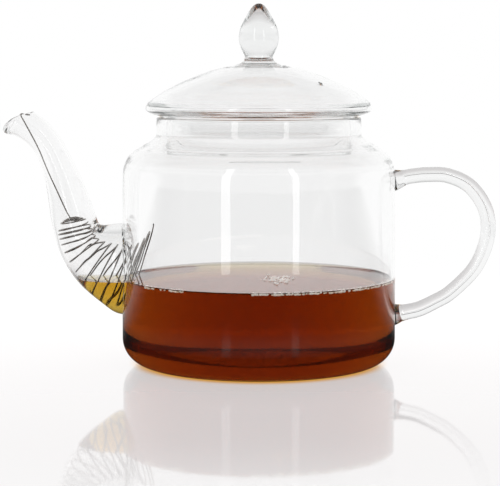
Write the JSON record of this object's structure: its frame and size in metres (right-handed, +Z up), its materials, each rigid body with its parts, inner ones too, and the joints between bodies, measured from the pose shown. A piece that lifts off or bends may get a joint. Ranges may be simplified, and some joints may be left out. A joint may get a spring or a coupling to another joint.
{
  "type": "glass teapot",
  "caption": "Clear glass teapot with straight-walled body, bent spout holding a coiled wire strainer, rod handle, and lift-off domed lid with drop knob, holding tea.",
  "frame": {"origin": "centre of the flat base, on the pot's vertical axis", "axes": "+Z up along the pot's axis, +X towards the handle, -X towards the spout"},
  "size_m": [0.2297, 0.1278, 0.1678],
  "materials": {
    "clear_glass": "clear fire-polished borosilicate glass",
    "steel_wire": "drawn stainless spring wire",
    "black_tea": "still black tea, deep red-brown, amber where shallow"
  },
  "bodies": {
    "pot": {"pot_body": "clear_glass", "spout": "clear_glass", "handle": "clear_glass", "handle_upper_weld": "clear_glass", "handle_lower_weld": "clear_glass", "tea": "black_tea"},
    "lid_ring": {"lid_flange": "clear_glass"},
    "lid": {"lid_dome": "clear_glass", "lid_collar": "clear_glass", "lid_knob": "clear_glass"},
    "strainer": {"strainer_cap": "steel_wire", "strainer_stem": "steel_wire", "strainer_coil": "steel_wire"}
  },
  "joints": [
    {"name": "lid_lift", "type": "slide", "parent": "pot", "child": "lid_ring", "axis": [0, 0, 1], "range_m": [0, 0.06]},
    {"name": "lid_turn", "type": "hinge", "parent": "lid_ring", "child": "lid", "pos_m": [0, 0, 0.1157], "axis": [0, 0, 1], "continuous": true},
    {"name": "strainer_pull", "type": "slide", "parent": "pot", "child": "strainer", "axis": [-0.2, 0, 0.9798], "range_m": [0, 0.008], "stiffness_N_per_m": 35, "deforming": ["strainer_coil"]}
  ]
}
